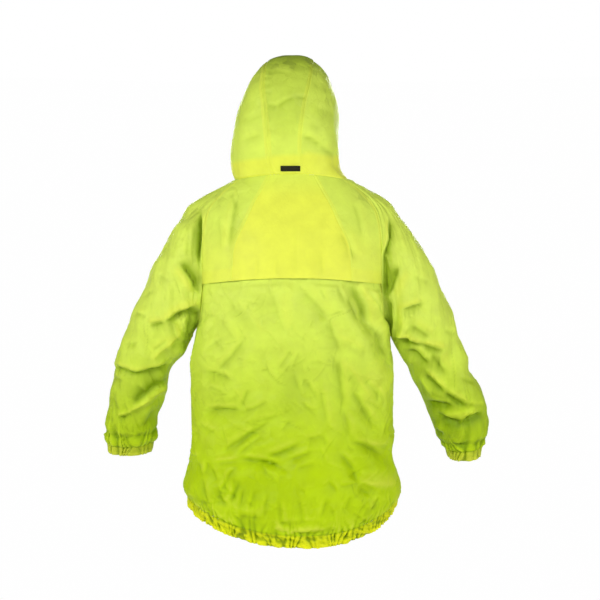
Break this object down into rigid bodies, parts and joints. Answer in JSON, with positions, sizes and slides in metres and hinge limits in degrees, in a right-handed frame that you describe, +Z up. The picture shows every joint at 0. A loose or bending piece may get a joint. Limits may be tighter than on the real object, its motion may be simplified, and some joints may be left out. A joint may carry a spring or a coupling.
{
  "type": "rain jacket",
  "caption": "Hooded raglan rain jacket of thin bright yellow-green cloth, zipped up to the chin, filled out as if worn, with a vented back yoke and a gathered drop-tail hem.",
  "frame": {"origin": "middle of the neck, level with the tops of the shoulders, where the wearer holds the jacket", "axes": "+Z up along the wearer, -Y the way the wearer faces, +X to the wearer's left"},
  "size_m": [0.8605, 0.332, 1.0609],
  "materials": {
    "shell_cloth": "thin coated fluorescent cloth, slightly see-through, soft sheen",
    "doubled_cloth": "the same cloth in two layers, brighter",
    "elastic_band": "the same cloth gathered on elastic",
    "webbing": "ribbed black webbing",
    "zip_tape": "fine twill tape",
    "zip_teeth": "moulded coil teeth",
    "zip_metal": "satin black lacquer"
  },
  "bodies": {
    "jacket": {"back_panel": "shell_cloth", "yoke_left": "shell_cloth", "yoke_centre": "doubled_cloth", "yoke_right": "shell_cloth", "front_left": "shell_cloth", "front_right": "shell_cloth", "sleeve_left": "shell_cloth", "sleeve_right": "shell_cloth", "hood_left": "shell_cloth", "hood_centre": "shell_cloth", "hood_right": "shell_cloth", "hood_face_hem": "doubled_cloth", "collar": "doubled_cloth", "hem_band": "elastic_band", "cuff_left": "elastic_band", "cuff_right": "elastic_band", "hood_tab": "webbing", "zip_tape_left": "zip_tape", "zip_tape_right": "zip_tape", "zip_chain": "zip_teeth", "zip_box": "zip_metal", "zip_slider": "zip_metal"},
    "pull": {"zip_pull": "zip_metal"}
  },
  "joints": [
    {"name": "pull_swing", "type": "hinge", "parent": "jacket", "child": "pull", "pos_m": [0, -0.12168, -0.01056], "axis": [-1, 0, 0], "range_deg": [-3, 150]}
  ]
}
